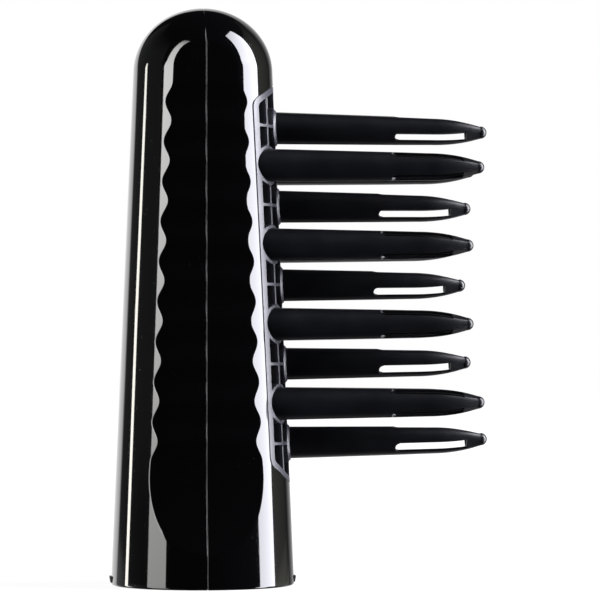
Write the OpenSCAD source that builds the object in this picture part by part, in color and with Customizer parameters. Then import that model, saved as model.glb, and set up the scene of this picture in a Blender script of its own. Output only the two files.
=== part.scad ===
// Comb-type diffuser for a hair dryer: a tapered upright body of two half shells,
// a grille in its front, and hollow slotted fingers that blow air into the hair.
// Millimetres. +Z runs up the body, +X towards the finger tips.
// The origin is the centre of the round base rim.

/* [Body] */
// Outer radius of the body at the base
base_r = 30.2; // [29.8:0.1:31]
// Height of the body from rim to crown
body_h = 190; // [189:1:195]
// Radius lost for each millimetre of height
body_taper = 0.0425; // [0.04:0.0005:0.0435]
// Height of the domed top
dome_h = 21.5; // [20:0.5:22.5]
// Wall thickness of the two shells
wall = 2; // [1.8:0.1:2]
// Rounding of the outer edge of the base rim
rim_round = 0.8; // [0.4:0.1:1]

/* [Grip panels] */
// Distance from the body's axis to the panel's mean surface, at panel_ref_z
panel_depth = 23.6; // [23.5:0.1:24.3]
// Height at which panel_depth holds
panel_ref_z = 55.5; // [53:0.5:58]
// Panel distance lost for each millimetre of height
panel_taper = 0.027; // [0.025:0.0005:0.0285]
// Height of the ripple above and below the mean surface
ripple_h = 0.6; // [0.3:0.1:0.7]
// Height of the ripple crest level with the middle finger row
ripple_mid_z = 99.4; // [98.4:0.1:100.4]
// Radius of the panel's slight sideways bulge
panel_bulge_r = 120; // [100:5:180]
// Radius of the sweep that runs the panel out towards the base
runout_r = 64; // [60:1:68]
// Drop from the lowest ripple to the start of that sweep
runout_drop = 2; // [1:0.5:3]

/* [Finger rows] */
// Height of the middle row of fingers
row_mid_z = 98.65; // [98.3:0.05:99]
// Height between one row and the next, of the neighbouring column
row_pitch = 12.99; // [12.85:0.01:13.05]
// Sideways distance of the two outer columns from the middle
column_y = 11.9; // [11.6:0.1:11.9]
// Tip distance from the body's axis in the middle row, middle column
tip_reach = 87.3; // [80:0.5:92]
// Extra reach of the outer columns
side_reach_gain = 0.7; // [0:0.1:2]
// Extra reach for a finger, times the square of its row number
row_reach_gain = 0.45; // [0.3:0.05:0.6]
// Lean of the middle fingers towards the middle row, in degrees for each row
toe_in = 0.22; // [0:0.02:0.24]
// The same lean of the outer fingers
side_toe_in = 0.1; // [0:0.02:0.24]

/* [Finger] */
// Radius where the finger leaves the grille
finger_root_r = 5.3; // [5.1:0.05:5.3]
// Radius at the root end of the slots
finger_slot_r = 4.75; // [4.6:0.05:4.8]
// Radius at the shoulder where the nose begins
finger_nose_r = 4.5; // [4.3:0.05:4.6]
// Distance from tip to shoulder
nose_len = 18.8; // [18:0.1:20]
// Wall thickness of the finger
finger_wall = 1; // [0.9:0.05:1.1]
// Width of each air slot
slot_w = 3.2; // [2.6:0.1:3.3]
// Distance from the tip to the root end of the slots
slot_from = 31; // [28:0.5:32]
// Distance from the tip to the square end of the slots
slot_to = 7.1; // [7:0.1:8]

/* [Grille] */
// Half width of the grille at its lower end
grille_low_y = 19.1; // [19:0.1:19.2]
// Half width of the grille at its upper end
grille_high_y = 17.7; // [17.7:0.1:17.8]
// Height of the grille's lower end
grille_low_z = 33.4; // [33:0.2:34]
// Height of the grille's upper end
grille_high_z = 164.2; // [163.8:0.2:164.8]
// Radius of the arched ends
arch_r = 30; // [28:1:34]
// Radius of the four corners
corner_r = 4; // [3:0.5:5]
// Width of the frame around the cells
frame_w = 1.9; // [1.8:0.1:2.2]
// Width of the upright ribs between cells
upright_rib_w = 0.9; // [0.8:0.1:1.2]
// Width of the level ribs between cells
level_rib_w = 1; // [0.8:0.1:1.3]
// Width of the collar around each finger
boss_w = 0.95; // [0.8:0.05:1]
// Height of the middle column's collars above the grille's surface
boss_h = 0.6; // [0.3:0.05:0.7]

/* [Dryer socket] */
// Radius of the rubber sleeve's bore, which grips the dryer's nozzle
socket_r = 22.5; // [22:0.1:22.6]
// Height of the sleeve's upper end
socket_top_z = 16.4; // [15:0.2:16.4]
// Thickness of the rubber sleeve
sleeve_t = 1; // [0.8:0.05:1]

/* [Hidden] */
FAR = 60;
FINE = 96;
DOME_STEPS = 20;
RUNOUT_STEPS = 12;
RIPPLE_STEPS = 8;

// Rows count from the middle one. Even rows are in the middle column, odd rows in the sides.
MIDDLE_ROWS = [-4, -2, 0, 2, 4];
SIDE_ROWS = [-3, -1, 1, 3];
ALL_ROWS = [-4 : 4];

// Clearances: around parts that drop into place, and between faces that touch
drop_gap = 0.15;
face_gap = 0.05;

// Planes behind the grille: finger flanges, then the retainer plate
flange_front_x = 13.2;
flange_t = 1.3;
flange_r = 5.75;
plate_t = 1.7;
flange_back_x = flange_front_x - flange_t;
plate_back_x = flange_back_x - plate_t;

// The ledge around the window, on which the grille's frame rests
ledge_w = 0.6;
ledge_depth = 1.2;
window_back_x = 9;

// Hooks at the grille's two ends, which hold under the shell
hook_half_w = 4;
hook_reach = 2;
hook_t = 1.2;
hook_setback = 1.2;

// Retainer plate
plate_half_w = 16.2;
plate_low_z = 39.5;
plate_high_z = 157.5;
plate_corner_r = 4;
plate_duct_r = 3.6;
plate_vent_r = 4;

// Screws and the posts that they enter. Each post narrows to meet a crossing of two ribs.
post_r = 2.2;
post_neck_r = 1;
post_neck_h = 3;
post_inset = 1.9;
screw_r = 1;
screw_bite = 6;
screw_head_r = 2;
screw_head_h = 1.3;
driver_w = 0.6;
driver_len = 2.6;
driver_depth = 0.7;

// Socket collar, its snap barbs, and the windows that they sit in
collar_t = 1.15;
collar_in_r = socket_r + sleeve_t + face_gap;
collar_out_r = collar_in_r + collar_t;
collar_low_z = 0.5;
collar_flange_t = 2.3;
barb_w = 6;
barb_low_z = 0.95;
barb_high_z = 2.95;
barb_out = 0.6;
barb_taper = 0.35;
barb_root = 1;
mouth_chamfer = 0.5;

// Locating tabs across the seam
TAB_Z = [45, 97, 148];
tab_h = 9;
tab_t = 1.4;
tab_reach = 4;
tab_root = 5;
tab_bury = 0.3;
seam_setback = 0.2;

// Where the dome takes over from the cone, so that the two are tangent
dome_base_z = body_h - dome_h;
dome_turn = atan(body_taper * dome_h / (base_r - body_taper * dome_base_z));
dome_join_z = dome_base_z + dome_h * sin(dome_turn);
dome_r = (base_r - body_taper * dome_join_z) / cos(dome_turn);

// The panel surface is swept about an upright axis on the far side of the body
bulge_y = panel_bulge_r - panel_depth;
panel_spread = 14;

// The ripple has one crest for each finger row, and stops short of the dome
ripple_low_z = ripple_mid_z - 4.5 * row_pitch;
ripple_high_z = ripple_mid_z + 5 * row_pitch;
runout_top_z = ripple_low_z - runout_drop;
runout_rise = 36;
runout_low_z = runout_top_z - runout_rise;

// Finger noses: where the rounded nib ends, and how the ogive swells behind it
nib_r = 2.08;
nib_cone_r = 2.9;
nib_cone_len = 5;
nose_power = 2.2;
bore_end = 6;

// Flats that carry the slots on over the nose: how far they reach back past the slots' ends,
// how far from the tip they stop, and how far below the nib's skin
flat_lead = 0.5;
flat_to = nib_r + 0.12;
flat_drop = 0.24;

// Length over which a finger stays straight in front of its flange
root_len = 12;

// How far a cut runs past what it cuts
overrun = 1;

function body_r(z) = base_r - body_taper * z;
function row_z(n) = row_mid_z + n * row_pitch;
function reach(n, side) =
    tip_reach + row_reach_gain * n * n + side_reach_gain * abs(side);

// Mean and rippled distance of the grip panel from the body's axis
function panel_mean(z) = panel_depth - panel_taper * (z - panel_ref_z);
function panel_at(z) = panel_mean(z)
    + ripple_h * (z > ripple_high_z ? 1 : cos(360 * (z - ripple_mid_z) / row_pitch));

// Points of the sweep that carries a panel's lower end out through the body's surface
function runout(start_y) = [for (i = [0 : RUNOUT_STEPS - 1])
    let (drop = runout_rise * (1 - i / RUNOUT_STEPS))
    [start_y + runout_r - sqrt(runout_r * runout_r - drop * drop), runout_top_z - drop]];

// Radius of a finger's nose at a distance t from its tip
function nose_r(t) = finger_nose_r
    - (finger_nose_r - nib_cone_r) * pow((nose_len - t) / (nose_len - nib_cone_len), nose_power);

// Height of a nose flat over the finger's axis, at a distance t from the tip. It leaves the
// edges of its slot flush.
flat_slot_h = sqrt(pow(nose_r(slot_to), 2) - pow(slot_w / 2, 2));
function flat_h(t) = nib_r - flat_drop
    + (flat_slot_h - nib_r + flat_drop) * (t - flat_to) / (slot_to - flat_to);

// Names of the fingers in one column, from the lowest up
function names(side, rows) = [for (i = [1 : len(rows)]) str("finger_", side, "_", i)];

// ---- Body ----

// Half profile of the body, inset by a wall: a cone with an elliptical dome
module body_profile(inset, low_z, edge) {
    low_r = body_r(low_z) - inset;
    rim = edge == 0 ? [[low_r, low_z]] : [for (i = [0 : 4])
        let (a = -90 + 22.5 * i)
        [low_r - edge + edge * cos(a), low_z + edge + edge * sin(a)]];
    dome = [for (i = [0 : DOME_STEPS])
        let (a = dome_turn + (90 - dome_turn) * i / DOME_STEPS)
        [(dome_r - inset) * cos(a), dome_base_z + (dome_h - inset) * sin(a)]];
    polygon(concat([[0, low_z]], rim, dome));
}

// Sweeps a profile of [distance from the body's axis, height] across one side of the body
module panel_sweep(side, from_angle, to_angle) {
    translate([0, -side * bulge_y, 0])
        rotate([0, 0, side * 90 + from_angle])
            rotate_extrude(angle = to_angle - from_angle, $fn = 180)
                translate([bulge_y, 0])
                    children();
}

// Everything outside one rippled grip panel
module panel_outside(side) {
    count = round((ripple_high_z - ripple_low_z) / row_pitch * RIPPLE_STEPS);
    ripple = [for (i = [0 : count])
        let (z = ripple_low_z + (ripple_high_z - ripple_low_z) * i / count)
        [panel_at(z), z]];
    panel_sweep(side, -panel_spread, panel_spread)
        polygon(concat(runout(panel_at(ripple_low_z)), ripple,
            [[panel_at(body_h), body_h], [FAR, body_h], [FAR, runout_low_z]]));
}

// Everything outside the plain inner face of one grip panel
module panel_inside(side) {
    skin = wall + ripple_h;
    low_y = panel_mean(ripple_low_z) - skin;
    panel_sweep(side, -panel_spread, panel_spread)
        polygon(concat(runout(low_y), [[low_y, ripple_low_z],
            [panel_mean(body_h) - skin, body_h], [FAR, body_h], [FAR, runout_low_z]]));
}

// The whole hollow body, before it is split
module body_form() {
    difference() {
        rotate_extrude($fn = FINE) body_profile(0, 0, rim_round);
        for (side = [-1, 1]) panel_outside(side);
        difference() {
            rotate_extrude($fn = FINE) body_profile(wall, -1, 0);
            for (side = [-1, 1]) panel_inside(side);
        }
    }
}

// Half of space on one side of the seam: -1 is the rear, 1 the front
module seam_half(half) {
    translate([half > 0 ? 0 : -FAR, -FAR, -1]) cube([FAR, 2 * FAR, body_h + 2]);
}

// Window for a snap barb, at the front or the rear
module barb_window(half) {
    w = barb_w + 2 * drop_gap;
    low = barb_low_z - drop_gap;
    translate([half > 0 ? collar_out_r : -FAR, -w / 2, low])
        cube([FAR - collar_out_r, w, barb_high_z - barb_low_z + 2 * drop_gap]);
}

// Wedge-shaped profile of a seam tab, between two depths below the panel's inner face
module tab_profile(z, top_gap, depth) {
    face = wall + ripple_h;
    polygon([[panel_mean(z) - face - depth, z], [panel_mean(z) - face - top_gap, z],
        [panel_mean(z + tab_h) - face - top_gap, z + tab_h],
        [panel_mean(z + tab_h) - face - depth, z + tab_h]]);
}

// Tabs on the rear shell that reach behind the front shell and line the seam up
module seam_tabs() {
    root = asin(tab_root / panel_bulge_r);
    tip = asin(tab_reach / panel_bulge_r);
    short = asin(seam_setback / panel_bulge_r);
    for (z = TAB_Z, side = [-1, 1]) {
        panel_sweep(side, side > 0 ? -tip : -root, side > 0 ? root : tip)
            tab_profile(z, drop_gap, tab_t);
        panel_sweep(side, side > 0 ? short : -root, side > 0 ? root : -short)
            tab_profile(z, -tab_bury, tab_t / 2);
    }
}

module rear_shell() {
    color([0.02, 0.02, 0.022]) {
        difference() {
            intersection() {
                body_form();
                seam_half(-1);
            }
            barb_window(-1);
        }
        seam_tabs();
    }
}

module front_shell() {
    color([0.02, 0.02, 0.022])
        difference() {
            intersection() {
                body_form();
                seam_half(1);
            }
            barb_window(1);
            along_x(window_back_x, FAR) window_outline(-ledge_w);
            difference() {
                along_x(window_back_x, FAR) window_outline(drop_gap);
                cone(-ledge_depth);
            }
        }
}

// ---- Grille ----

// Turns an outline drawn in Y and Z into a bar along +X
module along_x(from_x, to_x) {
    translate([from_x, 0, 0])
        rotate([90, 0, 90])
            linear_extrude(to_x - from_x)
                children();
}

// The body's cone without its dome, grown or shrunk
module cone(grow) {
    cylinder(h = body_h, r1 = body_r(0) + grow, r2 = body_r(body_h) + grow, $fn = FINE);
}

// Outline of the grille, grown or shrunk: a tapered strip with arched ends
module window_outline(grow) {
    low_turn = asin(grille_low_y / arch_r);
    high_turn = asin(grille_high_y / arch_r);
    low_arc = [for (i = [-6 : 6]) let (a = low_turn * i / 6)
        [arch_r * sin(a), grille_low_z + arch_r - arch_r * cos(a)]];
    high_arc = [for (i = [-6 : 6]) let (a = -high_turn * i / 6)
        [arch_r * sin(a), grille_high_z - arch_r + arch_r * cos(a)]];
    offset(r = corner_r + grow, $fn = 32)
        offset(delta = -corner_r)
            polygon(concat(low_arc, high_arc));
}

// Places a child at every finger's root, in the Y-Z plane
module at_fingers() {
    for (n = MIDDLE_ROWS) translate([0, row_z(n)]) children();
    for (n = SIDE_ROWS, side = [-1, 1]) translate([side * column_y, row_z(n)]) children();
}

// Frame and ribs, seen from the front
module lattice() {
    difference() {
        window_outline(0);
        window_outline(-frame_w);
    }
    intersection() {
        window_outline(-frame_w / 2);
        union() {
            for (y = [-column_y, 0, column_y])
                translate([y - upright_rib_w / 2, 0]) square([upright_rib_w, body_h]);
            for (n = ALL_ROWS)
                translate([-FAR / 2, row_z(n) - level_rib_w / 2]) square([FAR, level_rib_w]);
        }
    }
}

// A finger's barrel-sized hole, leaning as the finger does
module finger_hole(n, side, r) {
    lean_finger(n, side)
        rotate([0, 90, 0])
            translate([0, 0, -FAR / 2]) cylinder(h = FAR, r = r, $fn = FINE);
}

// A post for one screw, from the plane of the retainer plate to the back of the ribs
module screw_post(z) {
    length = body_r(z) - post_inset - flange_back_x;
    translate([flange_back_x, 0, z])
        rotate([0, 90, 0])
            rotate_extrude($fn = 48)
                polygon([[0, 0], [post_r, 0], [post_r, length - post_neck_h],
                    [post_neck_r, length], [0, length]]);
}

module finger_grille() {
    hole_r = finger_root_r + 2 * face_gap;
    color([0.05, 0.05, 0.055])
        difference() {
            union() {
                difference() {
                    intersection() {
                        along_x(window_back_x, FAR) lattice();
                        cone(0);
                    }
                    cone(-wall);
                }
                intersection() {
                    along_x(flange_front_x, FAR)
                        intersection() {
                            at_fingers() circle(hole_r + boss_w, $fn = FINE);
                            window_outline(0);
                        }
                    cone(0);
                }
                intersection() {
                    along_x(flange_front_x, FAR)
                        for (n = MIDDLE_ROWS)
                            translate([0, row_z(n)]) circle(hole_r + boss_w, $fn = FINE);
                    cone(boss_h);
                }
                for (n = SIDE_ROWS) screw_post(row_z(n));
                end_hooks();
            }
            difference() {
                intersection() {
                    cone(-ledge_depth + face_gap);
                    along_x(window_back_x, FAR)
                        difference() {
                            translate([-FAR / 2, grille_low_z - overrun])
                                square([FAR, grille_high_z - grille_low_z + 2 * overrun]);
                            window_outline(-ledge_w - drop_gap);
                        }
                }
                end_hooks();
            }
            for (n = MIDDLE_ROWS) finger_hole(n, 0, hole_r);
            for (n = SIDE_ROWS, side = [-1, 1]) finger_hole(n, side, hole_r);
            for (n = SIDE_ROWS)
                translate([plate_back_x, 0, row_z(n)])
                    rotate([0, 90, 0])
                        cylinder(h = plate_t + screw_bite, r = screw_r, $fn = 32);
        }
}

// Hooks that reach past the window's two ends, behind the shell
module end_hooks() {
    difference() {
        intersection() {
            cone(-wall - face_gap);
            along_x(window_back_x, FAR)
                for (z = [grille_low_z - hook_reach, grille_high_z - hook_reach])
                    translate([-hook_half_w, z]) square([2 * hook_half_w, 2 * hook_reach]);
        }
        cone(-wall - face_gap - hook_t);
    }
    difference() {
        intersection() {
            cone(-ledge_depth);
            along_x(window_back_x, FAR)
                for (z = [grille_low_z + hook_setback,
                        grille_high_z - hook_setback - frame_w])
                    translate([-hook_half_w, z]) square([2 * hook_half_w, frame_w]);
        }
        cone(-wall - face_gap - hook_t);
    }
}

module finger_retainer() {
    color([0.12, 0.12, 0.125])
        along_x(plate_back_x, flange_back_x - face_gap)
            difference() {
                offset(r = plate_corner_r, $fn = 48)
                    translate([-plate_half_w + plate_corner_r, plate_low_z + plate_corner_r])
                        square([2 * (plate_half_w - plate_corner_r),
                            plate_high_z - plate_low_z - 2 * plate_corner_r]);
                at_fingers() circle(plate_duct_r, $fn = 48);
                for (n = MIDDLE_ROWS, side = [-1, 1])
                    translate([side * column_y, row_z(n)]) circle(plate_vent_r, $fn = 48);
                for (n = SIDE_ROWS)
                    translate([0, row_z(n)]) circle(screw_r + drop_gap, $fn = 32);
            }
}

// Pan-head screws that hold the plate to the grille's posts
module retainer_screws() {
    color([0.6, 0.6, 0.62])
        for (n = SIDE_ROWS)
            translate([plate_back_x - face_gap, 0, row_z(n)]) {
                rotate([0, 90, 0])
                    cylinder(h = plate_t + screw_bite, r = screw_r - face_gap, $fn = 32);
                difference() {
                    rotate([0, -90, 0])
                        cylinder(h = screw_head_h, r1 = screw_head_r,
                            r2 = screw_head_r - screw_head_h / 2, $fn = 32);
                    for (turn = [0, 90])
                        rotate([turn, 0, 0])
                            translate([-screw_head_h - overrun, -driver_w / 2, -driver_len / 2])
                                cube([overrun + driver_depth, driver_w, driver_len]);
                }
            }
}

// ---- Fingers ----

// Puts a child, drawn along +X from the body's axis, at a finger's place and lean
module lean_finger(n, side) {
    translate([body_r(row_z(n)), side * column_y, row_z(n)])
        rotate([0, (side == 0 ? toe_in : side_toe_in) * n, 0])
            translate([-body_r(row_z(n)), 0, 0])
                children();
}

// Half profile of a finger as [radius, distance from the body's axis], thinned by t
module finger_profile(root_x, tip, t) {
    front = t == 0 ? 0 : bore_end;
    nib = t > 0 ? [[0, tip - front]] : [for (i = [0 : 4])
        [nib_r * sin(22.5 * i), tip - nib_r + nib_r * cos(22.5 * i)]];
    ogive = [for (i = [0 : 7]) let (d = nib_cone_len + (nose_len - nib_cone_len) * i / 7)
        if (d > front + t) [nose_r(d) - t, tip - d]];
    polygon(concat([[0, root_x]], nib, ogive,
        [[finger_slot_r - t, tip - slot_from], [finger_root_r - t, flange_front_x + root_len],
            [finger_root_r - t, root_x]]));
}

// One air slot, cut from the bore outwards: round at the root end, square at the tip end
module slot_cut(tip, turn) {
    rotate([turn, 0, 0])
        linear_extrude(finger_root_r + overrun) {
            translate([tip - slot_from + slot_w / 2, 0]) circle(d = slot_w, $fn = 48);
            translate([tip - slot_from + slot_w / 2, -slot_w / 2])
                square([slot_from - slot_to - slot_w / 2, slot_w]);
        }
}

// What is cut away over one of the nose's flats
module nose_flat(tip, turn) {
    from = slot_to + flat_lead;
    rotate([turn, 0, 0])
        rotate([90, 0, 0])
            translate([0, 0, -finger_root_r])
                linear_extrude(2 * finger_root_r)
                    polygon([[tip - from, flat_h(from)], [tip - flat_to, flat_h(flat_to)],
                        [tip - flat_to, finger_root_r], [tip - from, finger_root_r]]);
}

// A hollow finger. Middle ones have a slot on top, outer ones a slot facing the middle.
module finger(n, side) {
    tip = reach(n, side);
    first = side == 0 ? 0 : side * 90;
    color([0.05, 0.05, 0.055])
        difference() {
            union() {
                lean_finger(n, side)
                    rotate([0, 90, 0])
                        rotate_extrude($fn = FINE)
                            finger_profile(flange_back_x + flange_t / 2, tip, 0);
                translate([flange_back_x, side * column_y, row_z(n)])
                    rotate([0, 90, 0])
                        cylinder(h = flange_t - face_gap, r = flange_r, $fn = FINE);
            }
            lean_finger(n, side) {
                rotate([0, 90, 0])
                    rotate_extrude($fn = FINE)
                        finger_profile(flange_back_x - overrun, tip, finger_wall);
                for (turn = [0, 120, 240]) {
                    slot_cut(tip, first + turn);
                    nose_flat(tip, first + turn);
                }
            }
        }
}

// ---- Dryer socket ----

// Ring that carries the rubber sleeve and snaps into the body's base
module socket_collar() {
    flange_out_r = body_r(collar_low_z + collar_flange_t) - wall - drop_gap;
    color([0.08, 0.08, 0.085]) {
        rotate_extrude($fn = FINE)
            polygon([[collar_in_r, collar_low_z], [flange_out_r, collar_low_z],
                [flange_out_r, collar_low_z + collar_flange_t],
                [collar_out_r, collar_low_z + collar_flange_t],
                [collar_out_r, socket_top_z], [collar_in_r, socket_top_z]]);
        for (half = [-1, 1])
            rotate([90, 0, 0])
                translate([0, 0, -barb_w / 2])
                    linear_extrude(barb_w)
                        polygon([for (p = [[flange_out_r - barb_root, barb_low_z],
                            [body_r(barb_high_z) + barb_out - barb_taper, barb_low_z],
                            [body_r(barb_high_z) + barb_out, barb_high_z],
                            [flange_out_r - barb_root, barb_high_z]]) [half * p[0], p[1]]]);
    }
}

// Rubber sleeve that grips the dryer's nozzle
module grip_sleeve() {
    color([0.03, 0.03, 0.03])
        rotate_extrude($fn = FINE)
            polygon([[socket_r + mouth_chamfer, collar_low_z], [socket_r + sleeve_t, collar_low_z],
                [socket_r + sleeve_t, socket_top_z], [socket_r, socket_top_z],
                [socket_r, collar_low_z + mouth_chamfer]]);
}

rear_shell();
front_shell();
finger_grille();
finger_retainer();
retainer_screws();
for (i = [0 : len(MIDDLE_ROWS) - 1])
    finger(MIDDLE_ROWS[i], 0);
for (i = [0 : len(SIDE_ROWS) - 1]) {
    finger(SIDE_ROWS[i], -1);
    finger(SIDE_ROWS[i], 1);
}
socket_collar();
grip_sleeve();
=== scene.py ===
import math

import bpy
import numpy as np
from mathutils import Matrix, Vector, geometry

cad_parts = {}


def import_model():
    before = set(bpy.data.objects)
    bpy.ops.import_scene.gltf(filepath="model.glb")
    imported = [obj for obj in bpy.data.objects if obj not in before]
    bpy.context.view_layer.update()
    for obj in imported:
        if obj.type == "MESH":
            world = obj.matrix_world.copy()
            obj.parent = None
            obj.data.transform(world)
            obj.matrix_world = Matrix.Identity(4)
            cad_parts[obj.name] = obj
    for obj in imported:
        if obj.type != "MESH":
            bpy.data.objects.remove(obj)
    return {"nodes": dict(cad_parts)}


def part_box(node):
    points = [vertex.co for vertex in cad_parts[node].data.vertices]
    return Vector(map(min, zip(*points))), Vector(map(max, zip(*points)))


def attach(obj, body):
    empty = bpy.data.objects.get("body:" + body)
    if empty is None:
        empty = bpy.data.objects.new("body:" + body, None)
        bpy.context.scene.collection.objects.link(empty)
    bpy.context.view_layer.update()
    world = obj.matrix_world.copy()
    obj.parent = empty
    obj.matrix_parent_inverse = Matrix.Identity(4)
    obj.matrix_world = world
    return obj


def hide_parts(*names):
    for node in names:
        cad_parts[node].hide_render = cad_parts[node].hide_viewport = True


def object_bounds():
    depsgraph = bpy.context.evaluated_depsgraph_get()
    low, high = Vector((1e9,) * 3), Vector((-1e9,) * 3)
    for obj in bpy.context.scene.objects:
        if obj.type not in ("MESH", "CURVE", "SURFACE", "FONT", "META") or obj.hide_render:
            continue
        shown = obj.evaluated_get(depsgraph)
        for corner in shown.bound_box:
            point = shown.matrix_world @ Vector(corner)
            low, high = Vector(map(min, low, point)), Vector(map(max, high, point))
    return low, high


# The visual model of a comb-style dryer diffuser: two gloss black shells, a grille with hollow
# fingers, and the rubber sleeve in the socket. The other CAD parts keep their meshes.

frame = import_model()
cad_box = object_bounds()

# Dimensions shared with the CAD model, in millimetres. Meshes are built in millimetres
# and scaled to metres when they are made.
MM = 0.001
BASE_R = 30.2
TAPER = 0.0425
DOME_H = 21.5
WALL = 2.0
RIM_ROUND = 0.8
PANEL_DEPTH = 23.6
PANEL_REF_Z = 55.5
PANEL_TAPER = 0.027
RIPPLE_H = 0.6
RIPPLE_MID_Z = 99.4
BULGE_R = 120.0
RUNOUT_R = 64.0
RUNOUT_DROP = 2.0
ROW_MID_Z = 98.65
ROW_PITCH = 12.99
COLUMN_Y = 11.9
TOE_IN = 0.22
SIDE_TOE_IN = 0.1
GRILLE_LOW_Y = 19.1
GRILLE_HIGH_Y = 17.7
GRILLE_LOW_Z = 33.4
GRILLE_HIGH_Z = 164.2
ARCH_R = 30.0
CORNER_R = 4.0
FRAME_W = 1.9
UPRIGHT_RIB_W = 0.9
LEVEL_RIB_W = 1.0
DROP_GAP = 0.15
LEDGE_W = 0.6
LEDGE_DEPTH = 1.2
FINGER_ROOT_R = 5.3
FINGER_SLOT_R = 4.75
FINGER_NOSE_R = 4.5
FINGER_WALL = 1.0
NOSE_LEN = 18.8
NIB_R = 2.08
NIB_CONE_R = 2.9
NIB_CONE_LEN = 5.0
NOSE_POWER = 2.2
BORE_END = 6.0
SLOT_W = 3.2
SLOT_FROM = 31.0
SLOT_TO = 7.1
FLAT_TO = NIB_R + 0.12
FLAT_DROP = 0.24
FLANGE_R = 5.75
FLANGE_BACK_X = 11.9
FLANGE_FRONT_X = 13.15
ROOT_END_X = 25.2
BARB_HALF_W = 3.15
BARB_HIGH_Z = 3.1

BODY_H = cad_box[1].z / MM
BULGE_Y = BULGE_R - PANEL_DEPTH
RIPPLE_LOW_Z = RIPPLE_MID_Z - 4.5 * ROW_PITCH
RIPPLE_HIGH_Z = RIPPLE_MID_Z + 5 * ROW_PITCH
DOME_Z = BODY_H - DOME_H
DOME_TURN = math.atan(TAPER * DOME_H / (BASE_R - TAPER * DOME_Z))
DOME_JOIN_Z = DOME_Z + DOME_H * math.sin(DOME_TURN)
DOME_R = (BASE_R - TAPER * DOME_JOIN_Z) / math.cos(DOME_TURN)

# Finish sizes that only the visible meshes have, in millimetres
SEAM_ROUND = 0.25
SEAM_GAP = 0.02
CREASE_SOFT = 0.25
INNER_CREASE_SOFT = 1.0
WINDOW_ROUND = 0.25
BARB_ROUND = 0.1
RIB_ROUND = 0.12
SLOT_ROUND = 0.12
# Steps round each rounded edge
EDGE_STEPS = 3

# A face corner keeps its vertex normal if the face is within about 41 degrees of it
SHARP = 0.75
# Takes a point of Y and Z over to the other side
MIRROR = np.array([-1, 1])


def unit(v):
    return v / np.maximum(np.linalg.norm(v, axis=-1, keepdims=True), 1e-12)


def placed(name, data):
    """Makes an object of a mesh or a camera, in the scene."""
    made = bpy.data.objects.new(name, data)
    bpy.context.scene.collection.objects.link(made)
    return made


class Shape:
    """Vertices with their own normals, and faces between them, for one piece."""

    def __init__(self):
        self.points, self.normals, self.quads, self.count = [], [], [], 0

    def add(self, points, normals):
        """Adds vertices and returns their numbers, in an array shaped as the points are."""
        points = np.asarray(points, float)
        normals = np.broadcast_to(np.asarray(normals, float), points.shape)
        ids = np.arange(self.count, self.count + points.size // 3)
        self.points.append(points.reshape(-1, 3))
        self.normals.append(normals.reshape(-1, 3))
        self.count += len(ids)
        return ids.reshape(points.shape[:-1])

    def at(self, ids):
        """The places and normals of some vertices."""
        self.points = [np.concatenate(self.points)]
        self.normals = [np.concatenate(self.normals)]
        return self.points[0][ids], self.normals[0][ids]

    def sheet(self, ids, closed=False, skip=None):
        """Quads between neighbouring rows and columns of vertex numbers."""
        ids = np.asarray(ids)
        if closed:
            ids = np.concatenate([ids, ids[:, :1]], axis=1)
        quads = np.stack([ids[:-1, :-1], ids[:-1, 1:], ids[1:, 1:], ids[1:, :-1]], axis=-1)
        if skip is not None:
            quads = quads[~skip]
        self.quads.append(quads.reshape(-1, 4))

    def triangles(self, ids):
        ids = np.asarray(ids).reshape(-1, 3)
        self.quads.append(np.concatenate([ids, ids[:, 2:]], axis=1))

    def rim(self, loop, into, radius, closed=True):
        """Rounds an edge over: rings from loop that turn towards the directions into."""
        spot, out = self.at(loop)
        rings = [loop]
        for k in range(1, EDGE_STEPS + 1):
            turn = math.pi / 2 * k / EDGE_STEPS
            place = spot + into * radius * math.sin(turn) - out * radius * (1 - math.cos(turn))
            rings.append(self.add(place, out * math.cos(turn) + into * math.sin(turn)))
        self.sheet(rings, closed)
        return rings[-1]

    def inward(self, loop, centre):
        """Directions within the surface, square to a closed loop, towards a point."""
        spot, out = self.at(loop)
        along = np.roll(spot, -1, axis=0) - np.roll(spot, 1, axis=0)
        side = unit(np.cross(out, along))
        return side * np.sign(np.sum(side * (centre - spot), axis=1).sum())

    def piece(self, name, material, slot, *nodes):
        """Makes the mesh object, which rides on the body in place of its CAD nodes."""
        points, normals = np.concatenate(self.points), np.concatenate(self.normals)
        faces = [list(dict.fromkeys(quad)) for quad in np.concatenate(self.quads).tolist()]
        faces = [face for face in faces if len(face) > 2]
        sizes = np.array([len(face) for face in faces])
        ids = np.array([face + face[-1:] * (4 - len(face)) for face in faces])
        a, b, c, d = (points[ids[:, k]] for k in range(4))
        flat = np.where((sizes == 3)[:, None], np.cross(b - a, c - a), np.cross(c - a, d - b))
        flat = unit(flat)
        back = np.sum(flat * normals[ids].sum(axis=1), axis=1) < 0
        flat[back] *= -1
        faces = [face[::-1] if turn else face for face, turn in zip(faces, back)]
        owner = np.repeat(np.arange(len(faces)), sizes)
        shade = unit(normals[np.concatenate(faces)])
        sharp = np.sum(shade * flat[owner], axis=1) < SHARP
        shade[sharp] = flat[owner][sharp]
        mesh = bpy.data.meshes.new(name)
        mesh.from_pydata((points * MM).tolist(), [], faces)
        mesh.shade_smooth()
        mesh.normals_split_custom_set(shade.tolist())
        mesh.materials.append(material)
        made = placed(name, mesh)
        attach(made, "root")
        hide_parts(*nodes)


# ---- The body's surfaces ----


def body_r(z):
    return BASE_R - TAPER * z


def panel_mean(z):
    return PANEL_DEPTH - PANEL_TAPER * (z - PANEL_REF_Z)


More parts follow.
